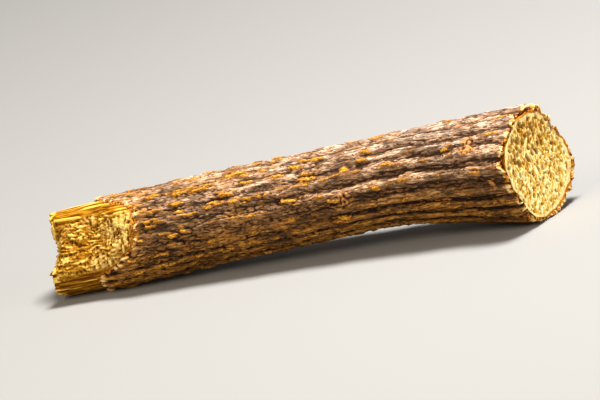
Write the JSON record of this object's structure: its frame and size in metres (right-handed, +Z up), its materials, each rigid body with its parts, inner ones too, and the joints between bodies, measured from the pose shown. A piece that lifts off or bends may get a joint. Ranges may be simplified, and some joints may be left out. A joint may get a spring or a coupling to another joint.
{
  "type": "giloy stem",
  "caption": "Dried, ribbed climber stem lying on its side, with a clean cut across its flared end and a broken end where bare wood stands out of the bark.",
  "frame": {"origin": "on the surface that the stem lies on, under the middle of its box", "axes": "+X along the stem towards its clean cut, flared end; +Z up; -Y towards the side where the long break in the bark is"},
  "size_m": [0.0906, 0.0186, 0.019],
  "materials": {
    "bark": "dry, rough, ribbed brown bark",
    "wood": "dry, bare, porous yellow wood"
  },
  "bodies": {
    "root": {"stem": "bark"}
  },
  "joints": []
}
